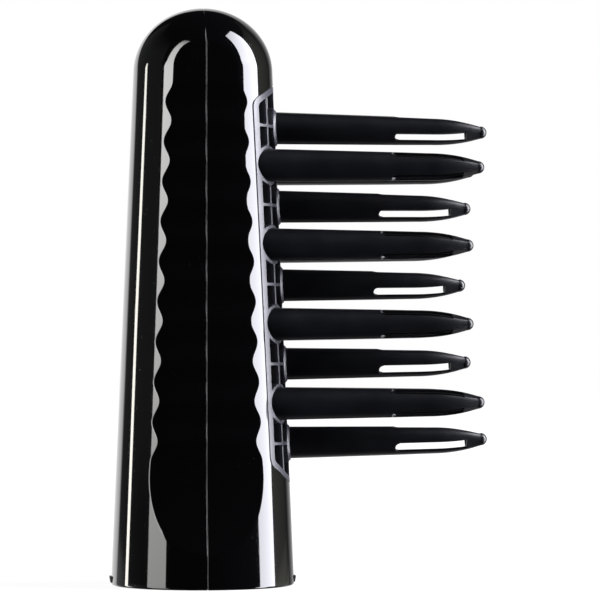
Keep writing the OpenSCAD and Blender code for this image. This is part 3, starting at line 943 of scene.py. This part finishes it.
def finger_ends(shape, form, outer, inner):
    """The rounded nib, the bore's blind end, and the flange behind the grille."""
    count = outer.shape[1]
    way = unit(shape.at(outer[-1])[0] * [0, 1, 1])
    rings = [outer[-1]]
    for t in np.linspace(0, math.pi / 2, NIB_STEPS + 1)[:-1]:
        spot = way * NIB_R * math.cos(t) + [form.nib_x + NIB_R * math.sin(t), 0, 0]
        rings.append(shape.add(spot, way * math.cos(t) + [math.sin(t), 0, 0]))
    rings.append(np.full(count, shape.add([[form.tip, 0, 0]], [[1, 0, 0]])[0]))
    shape.sheet(rings, closed=True)
    blind = shape.add([[form.tip - BORE_END, 0, 0]], [[-1, 0, 0]])[0]
    shape.sheet([inner[-1], np.full(count, blind)], closed=True)
    way = unit(shape.at(outer[0])[0] * [0, 1, 1])
    rings = [outer[0]]
    for x, tilt in ((FLANGE_FRONT_X, FLANGE_TILT), (FLANGE_BACK_X, -FLANGE_TILT)):
        rings.append(shape.add(way * FLANGE_R + [x, 0, 0], way + [tilt, 0, 0]))
    shape.sheet(rings + [inner[0]], closed=True)


def finger(node, side, row, y, z, tip, material):
    """A hollow finger with three air slots, drawn along X and then leant into its place."""
    shape = Shape()
    form = FingerForm(tip)
    first = side * math.pi / 2
    body = spaced(FLANGE_FRONT_X + FLANGE_LEAD, form.start_x, BODY_STEP)
    nose = [*spaced(form.end_x + SLOT_ROUND, form.cone_x, NOSE_STEP)[1:],
            *spaced(form.cone_x, tip - FLAT_TO, CONE_STEP)[1:]]
    outer, loops = finger_skin(shape, form, first, 0, SLOT_ROUND, [FLANGE_FRONT_X, *body], nose)
    inner, inner_loops = finger_skin(shape, form, first, FINGER_WALL, 0,
                                     [FLANGE_BACK_X, *body], [tip - BORE_END])
    for loop, inner_loop in zip(loops, inner_loops):
        middle = shape.at(loop)[0].mean(axis=0) * [1, SLOT_CENTRE_OUT, SLOT_CENTRE_OUT]
        edge = shape.rim(loop, shape.inward(loop, middle), SLOT_ROUND)
        shape.sheet([edge, inner_loop], closed=True)
    finger_ends(shape, form, outer, inner)

    # Lean about the point where the axis crosses the body's surface
    lean = math.radians((SIDE_TOE_IN if side else TOE_IN) * row)
    pivot = np.array([body_r(z), 0, 0])
    turned = np.array([[math.cos(lean), 0, math.sin(lean)], [0, 1, 0],
                       [-math.sin(lean), 0, math.cos(lean)]])
    shape.points = [(p - pivot) @ turned.T + pivot + [0, y, z] for p in shape.points]
    shape.normals = [n @ turned.T for n in shape.normals]
    shape.piece(node, material, "finger_black", node)


# ---- Grip sleeve ----

SLEEVE_RINGS = 6
RING_DEPTH = 0.25
SLEEVE_WALL = 1.0
SLEEVE_LIP = 0.5
SLEEVE_ROUND = 0.2
SLEEVE_LAND = 0.4
SLEEVE_STEP = 0.15
SLEEVE_STEPS = 128


def grip_sleeve(material):
    """Rubber sleeve in the socket, with shallow grip rings round its bore."""
    low, high = (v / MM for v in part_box("grip_sleeve"))
    out_r, bore_r = high.x, high.x - SLEEVE_WALL
    start = low.z + SLEEVE_LIP
    rows = [(low.z, out_r, 0, 1), (high.z, out_r, 0, 1), (high.z, bore_r + SLEEVE_ROUND, 1, -1)]
    for z in spaced(high.z - SLEEVE_LAND, start, SLEEVE_STEP):
        share = (z - start) / (high.z - start)
        wave = 0.5 - 0.5 * math.cos(2 * math.pi * SLEEVE_RINGS * share)
        rows.append((z, bore_r + RING_DEPTH * wave**2, 0, -1))
    rows.append((low.z, bore_r + SLEEVE_LIP, -1, -1))
    shape = Shape()
    lathe(shape, rows, [0, 0, 0], SLEEVE_STEPS, axis=2, ring=True)
    shape.piece("grip_sleeve", material, "sleeve_rubber", "grip_sleeve")


# ---- Materials ----

# Painted shade in the grille's cells: they darken over this depth, to this share of their colour
PAINTED_SHADE_FADE = 0.4
PAINTED_SHADE_SHARE = 0.15


class Nodes:
    """Short calls for building a material's nodes."""

    def __init__(self, name):
        self.material = bpy.data.materials.new(name)
        self.material.use_nodes = True
        self.tree = self.material.node_tree
        self.shader = self.tree.nodes["Principled BSDF"]
        self.place = self.tree.nodes.new("ShaderNodeTexCoord").outputs["Object"]

    def link(self, source, target):
        self.tree.links.new(source, target)

    def noise(self, scale, detail=2.0, rough=0.5, stretch=None):
        """Noise in object space. scale is features per metre."""
        node = self.tree.nodes.new("ShaderNodeTexNoise")
        node.inputs["Scale"].default_value = scale
        node.inputs["Detail"].default_value = detail
        node.inputs["Roughness"].default_value = rough
        source = self.place
        if stretch:
            mapping = self.tree.nodes.new("ShaderNodeMapping")
            mapping.inputs["Scale"].default_value = stretch
            self.link(source, mapping.inputs["Vector"])
            source = mapping.outputs["Vector"]
        self.link(source, node.inputs["Vector"])
        return node.outputs["Fac"]

    def ramp(self, source, low, high, start, end):
        """Blends from colour start at low to colour end at high."""
        node = self.tree.nodes.new("ShaderNodeValToRGB")
        first, last = node.color_ramp.elements
        first.position, first.color = low, (*start, 1)
        last.position, last.color = high, (*end, 1)
        self.link(source, node.inputs["Fac"])
        return node.outputs["Color"]

    def span(self, source, low, high, start, end):
        """Maps low..high to start..end."""
        node = self.tree.nodes.new("ShaderNodeMapRange")
        for key, value in (("From Min", low), ("From Max", high), ("To Min", start),
                           ("To Max", end)):
            node.inputs[key].default_value = value
        self.link(source, node.inputs["Value"])
        return node.outputs["Result"]

    def combine(self, kind, a, b):
        node = self.tree.nodes.new("ShaderNodeMath")
        node.operation = kind
        for value, socket in ((a, node.inputs[0]), (b, node.inputs[1])):
            if isinstance(value, (int, float)):
                socket.default_value = value
            else:
                self.link(value, socket)
        return node.outputs["Value"]

    def painted_shade_mask(self, start, end, share):
        """Mask of the painted shade: 1 near the body's cone, falling to share between two depths in
        millimetres.
        """
        split = self.tree.nodes.new("ShaderNodeSeparateXYZ")
        self.link(self.place, split.inputs[0])
        squares = [self.combine("MULTIPLY", split.outputs[k], split.outputs[k]) for k in "XY"]
        radius = self.combine("SQRT", self.combine("ADD", *squares), 0)
        level = self.combine("ADD", radius, self.combine("MULTIPLY", split.outputs["Z"], TAPER))
        return self.span(level, (BASE_R - start) * MM, (BASE_R - end) * MM, 1.0, share)

    def scaled(self, colour, share):
        node = self.tree.nodes.new("ShaderNodeVectorMath")
        node.operation = "SCALE"
        self.link(colour, node.inputs[0])
        self.link(share, node.inputs["Scale"])
        return node.outputs["Vector"]

    def bump(self, height, distance, below=None):
        node = self.tree.nodes.new("ShaderNodeBump")
        node.inputs["Distance"].default_value = distance
        self.link(height, node.inputs["Height"])
        if below is not None:
            self.link(below, node.inputs["Normal"])
        return node.outputs["Normal"]

    def finish(self, colour, roughness, normal, **plain):
        self.link(colour, self.shader.inputs["Base Color"])
        self.link(roughness, self.shader.inputs["Roughness"])
        self.link(normal, self.shader.inputs["Normal"])
        for key, value in plain.items():
            self.shader.inputs[key.replace("_", " ")].default_value = value
        return self.material


def gloss_black():
    """Polished black moulding: faint waviness, hairline marks and a little dust."""
    n = Nodes("gloss_black")
    dust = n.noise(2600, 1.0)
    specks = n.span(dust, 0.79, 0.83, 0.0, 1.0)
    marks = n.noise(900, 3.0, 0.7, (1.0, 1.0, 0.04))
    hairlines = n.span(marks, 0.66, 0.72, 0.0, 1.0)
    colour = n.ramp(specks, 0.0, 1.0, (0.0012, 0.0012, 0.0014), (0.03, 0.03, 0.032))
    rough = n.span(n.noise(60, 3.0), 0.3, 0.7, 0.035, 0.06)
    rough = n.combine("ADD", rough, n.combine("MULTIPLY", hairlines, 0.08))
    rough = n.combine("ADD", rough, n.combine("MULTIPLY", specks, 0.4))
    waves = n.bump(n.noise(260, 1.0), 2.0e-6)
    normal = n.bump(specks, 8e-6, waves)
    return n.finish(colour, rough, normal, IOR=1.5)


def satin_black(name, tint, rough_low, rough_high, grain, shine=0.5, painted_shade_below=None):
    """Fine-textured black moulding: eroded grain, and slightly rubbed patches. Painted shade makes
    it darker deeper than a given depth under the body's cone, if that depth is given."""
    n = Nodes(name)
    worn = n.noise(140, 4.0, 0.6)
    colour = n.ramp(worn, 0.35, 0.75, tint, tuple(1.5 * c for c in tint))
    rough = n.span(worn, 0.3, 0.7, rough_low, rough_high)
    fine = n.noise(5200, 2.0)
    coarse = n.noise(1500, 2.0)
    normal = n.bump(fine, grain, n.bump(coarse, grain * 2))
    if painted_shade_below:
        # Painted shade: the colour is scaled down deeper under the body's cone, in the grille's
        # cells
        light = n.painted_shade_mask(painted_shade_below, painted_shade_below + PAINTED_SHADE_FADE, PAINTED_SHADE_SHARE)
        colour = n.scaled(colour, light)
    return n.finish(colour, rough, normal, IOR=1.5, Specular_IOR_Level=shine)


def rubber(name):
    n = Nodes(name)
    bloom = n.noise(300, 5.0, 0.65)
    colour = n.ramp(bloom, 0.3, 0.8, (0.012, 0.012, 0.012), (0.03, 0.03, 0.029))
    rough = n.span(bloom, 0.3, 0.7, 0.62, 0.8)
    normal = n.bump(n.noise(2400, 3.0), 1.2e-5)
    return n.finish(colour, rough, normal, IOR=1.5)


def screw_steel(name):
    """Zinc-plated steel, with fine turning marks."""
    n = Nodes(name)
    stain = n.noise(900, 4.0, 0.6)
    colour = n.ramp(stain, 0.3, 0.8, (0.42, 0.42, 0.44), (0.62, 0.61, 0.60))
    rough = n.span(stain, 0.3, 0.7, 0.24, 0.42)
    normal = n.bump(n.noise(7000, 2.0), 3e-6)
    return n.finish(colour, rough, normal, Metallic=1.0)


# ---- Studio ----

CAMERA_AT = (-0.0627, -1.0982, 0.073)
CAMERA_TURN = 4.94
CAMERA_RISE = 1.08
LENS = 200.0

# The lights: rows of height in metres, then the directions in degrees between which the
# light reaches there, each with its glow
LEFT_BOX = [(-1.5, (-76, 5.8), (-50, 5.8)), (0.0, (-76, 5.8), (-50, 5.8)),
            (0.1, (-75.7, 6.9), (-50, 6.9)), (0.22, (-74.2, 9.6), (-51, 9.6)),
            (0.46, (-70.2, 14), (-51, 14)), (0.83, (-65.5, 13), (-51, 13)),
            (1.78, (-61, 11), (-49, 11)), (2.35, (-57, 8), (-44, 8)), (3.0, (-50, 3), (-34, 3))]
RIGHT_BOX = [(-1.5, (74, 17), (99.5, 19)), (0.05, (73.5, 17), (99.5, 19)),
             (0.15, (69, 19), (99, 20)), (0.8, (65, 22), (97.5, 24)), (2.2, (66, 17), (101, 18)),
             (3.6, (66, 12), (100, 12))]
SLIT_BOX = [(-1.5, (-116.5, 14), (-110.5, 14)), (0.2, (-116.5, 14), (-110.5, 14)),
            (0.4, (-113.8, 14), (-107.8, 14)), (0.6, (-110.5, 12), (-108, 12))]
BACKDROP = [(-1.0, (137, 0.03), (148, 0.4), (158, 0.6), (180, 1.2), (217, 1.9), (222, 0.1)),
            (0.4, (137, 0.03), (148, 0.4), (158, 0.6), (180, 1.2), (216, 1.9), (222, 0.1)),
            (0.75, (136, 0.03), (147, 0.4), (158, 0.6), (180, 1.2), (211, 1.7), (216, 0.1)),
            (1.06, (136, 0.03), (147, 0.4), (158, 0.6), (180, 1.2), (203, 1.5), (208, 0.1)),
            (1.34, (137, 0.03), (148, 0.4), (159, 0.6), (180, 1.1), (193, 1.3), (197, 0.1)),
            (1.9, (140, 0.03), (150, 0.3), (160, 0.6), (180, 1.0), (182, 1.0), (184, 0.1))]
LEFT_WALL = [(-1.5, (-150, 0.45), (-118, 0.3), (-74, 0.15)),
             (-0.06, (-150, 0.4), (-118, 0.3), (-74, 0.1)),
             (-0.03, (-150, 0.08), (-118, 0.08), (-74, 0.05)),
             (0.07, (-150, 0.08), (-118, 0.08), (-74, 0.05)),
             (0.2, (-150, 0.1), (-118, 0.1), (-74, 0.13)),
             (1.5, (-150, 0.1), (-118, 0.1), (-74, 0.13)),
             (3.2, (-150, 0.04), (-118, 0.02), (-74, 0.01))]
RIGHT_WALL = [(-1.5, (97, 1.0), (116, 0.6), (136, 0.3), (152, 0.2)),
              (-0.1, (97, 1.0), (116, 0.6), (136, 0.35), (152, 0.15)),
              (-0.075, (97, 1.0), (116, 0.6), (136, 0.05), (152, 0.02)),
              (-0.048, (97, 1.0), (116, 0.4), (136, 0.05), (152, 0.02)),
              (-0.038, (97, 0.45), (116, 0.22), (136, 0.05), (152, 0.02)),
              (2.0, (97, 0.42), (116, 0.22), (136, 0.05), (152, 0.02)),
              (3.0, (97, 0.12), (116, 0.1), (136, 0.05), (152, 0.02))]
ROOM = (0.009, 0.009, 0.010)


def camera():
    data = bpy.data.cameras.new("camera")
    data.lens, data.sensor_width = LENS, 36.0
    data.clip_start, data.clip_end = 0.05, 20.0
    made = placed("camera", data)
    turn, rise = math.radians(CAMERA_TURN), math.radians(CAMERA_RISE)
    look = Vector((math.sin(turn) * math.cos(rise), math.cos(turn) * math.cos(rise),
                   math.sin(rise)))
    made.location = CAMERA_AT
    made.rotation_mode = "QUATERNION"
    made.rotation_quaternion = look.to_track_quat("-Z", "Y")
    bpy.context.scene.camera = made


def glowing(name, corners, faces, glow, colour):
    """A panel that only reflections see. glow holds the strength at each corner."""
    mesh = bpy.data.meshes.new(name)
    mesh.from_pydata(corners, [], faces)
    mesh.attributes.new("glow", "FLOAT", "POINT").data.foreach_set("value", glow)
    material = bpy.data.materials.new(name)
    material.use_nodes = True
    tree = material.node_tree
    tree.nodes.clear()
    light = tree.nodes.new("ShaderNodeEmission")
    light.inputs["Color"].default_value = (*colour, 1)
    strength = tree.nodes.new("ShaderNodeAttribute")
    strength.attribute_name = "glow"
    out = tree.nodes.new("ShaderNodeOutputMaterial")
    tree.links.new(strength.outputs["Fac"], light.inputs["Strength"])
    tree.links.new(light.outputs[0], out.inputs["Surface"])
    mesh.materials.append(material)
    made = placed(name, mesh)
    made.visible_camera = False
    made.visible_shadow = False


def softbox(name, rows, distance, colour):
    """An upright panel round the object, between directions turned from -Y towards +X."""
    count = len(rows[0]) - 1
    turns = [(math.radians(turn), row[0]) for row in rows for turn, _ in row[1:]]
    corners = [(distance * math.sin(t), -distance * math.cos(t), z) for t, z in turns]
    faces = [(i * count + k, i * count + k + 1, (i + 1) * count + k + 1, (i + 1) * count + k)
             for i in range(len(rows) - 1) for k in range(count - 1)]
    glowing(name, corners, faces, [glow for row in rows for _, glow in row[1:]], colour)


def floor_bounce():
    """Light that comes up from the pale floor onto the undersides of the fingers."""
    left, right, depth, level, glow = -0.5, 1.1, 0.8, -0.3, 0.9
    corners = [(left, 0, level), (right, 0, level), (right, depth, level), (left, depth, level)]
    glowing("floor_bounce", corners, [(0, 1, 2, 3)], [0.0, 0.0, glow, glow], (1.0, 0.98, 1.0))


def floor():
    """A plain white floor, which glows a little so that it meets the white background."""
    size = 8
    mesh = bpy.data.meshes.new("floor")
    mesh.from_pydata([(-size, -size, 0), (size, -size, 0), (size, size, 0), (-size, size, 0)], [],
                     [(0, 1, 2, 3)])
    n = Nodes("floor")
    for key, value in (("Base Color", (0.12, 0.12, 0.12, 1)), ("Roughness", 1.0),
                       ("Specular IOR Level", 0.0), ("Emission Color", (1, 1, 1, 1))):
        n.shader.inputs[key].default_value = value
    away = n.tree.nodes.new("ShaderNodeVectorMath")
    away.operation = "LENGTH"
    n.link(n.place, away.inputs[0])
    glow = n.span(away.outputs["Value"], 0.05, 1.5, 0.93, 1.0)
    n.link(glow, n.shader.inputs["Emission Strength"])
    mesh.materials.append(n.material)
    made = placed("floor", mesh)
    made.visible_glossy = False
    made.visible_diffuse = False
    made.visible_shadow = False


def world():
    """White where the camera sees past the floor, and almost dark everywhere else."""
    made = bpy.data.worlds.new("world")
    bpy.context.scene.world = made
    made.use_nodes = True
    tree = made.node_tree
    tree.nodes.clear()
    seen = tree.nodes.new("ShaderNodeBackground")
    seen.inputs["Color"].default_value = (1, 1, 1, 1)
    dim = tree.nodes.new("ShaderNodeBackground")
    dim.inputs["Color"].default_value = (*ROOM, 1)
    ray = tree.nodes.new("ShaderNodeLightPath")
    mix = tree.nodes.new("ShaderNodeMixShader")
    out = tree.nodes.new("ShaderNodeOutputWorld")
    tree.links.new(ray.outputs["Is Camera Ray"], mix.inputs[0])
    tree.links.new(dim.outputs[0], mix.inputs[1])
    tree.links.new(seen.outputs[0], mix.inputs[2])
    tree.links.new(mix.outputs[0], out.inputs["Surface"])


def studio():
    softbox("softbox_left", LEFT_BOX, 2.0, (1.0, 0.995, 0.985))
    softbox("softbox_right", RIGHT_BOX, 2.0, (0.92, 0.92, 1.0))
    softbox("softbox_slit", SLIT_BOX, 2.0, (1.0, 0.97, 0.9))
    softbox("backdrop_glow", BACKDROP, 2.5, (1.0, 1.0, 1.0))
    softbox("wall_left", LEFT_WALL, 2.8, (0.95, 0.97, 1.0))
    softbox("wall_right", RIGHT_WALL, 2.8, (1.0, 0.99, 0.88))
    floor_bounce()
    floor()
    world()
    bpy.context.scene.view_settings.view_transform = "Standard"


# ---- The object ----

SPOTS = finger_spots()
camera()
studio()
shell_black = gloss_black()
shell("rear_shell", shell_black, True)
shell("front_shell", shell_black, False)
# The grille's colour carries painted shade from 0.6 mm under the body's cone down into its cells
finger_grille(satin_black("grille_black", (0.014, 0.014, 0.021), 0.34, 0.42, 3e-6, 0.63, 0.6))
finger_black = satin_black("finger_black", (0.0022, 0.0024, 0.0036), 0.29, 0.35, 3e-6, 0.42)
for spot in SPOTS:
    finger(*spot, finger_black)
grip_sleeve(rubber("sleeve_rubber"))
inner_black = satin_black("inner_black", (0.016, 0.016, 0.017), 0.45, 0.6, 5e-6)
for node, finish in (("finger_retainer", inner_black), ("socket_collar", inner_black),
                     ("retainer_screws", screw_steel("screw_steel"))):
    kept = frame["nodes"][node]
    kept.data.materials.clear()
    kept.data.materials.append(finish)
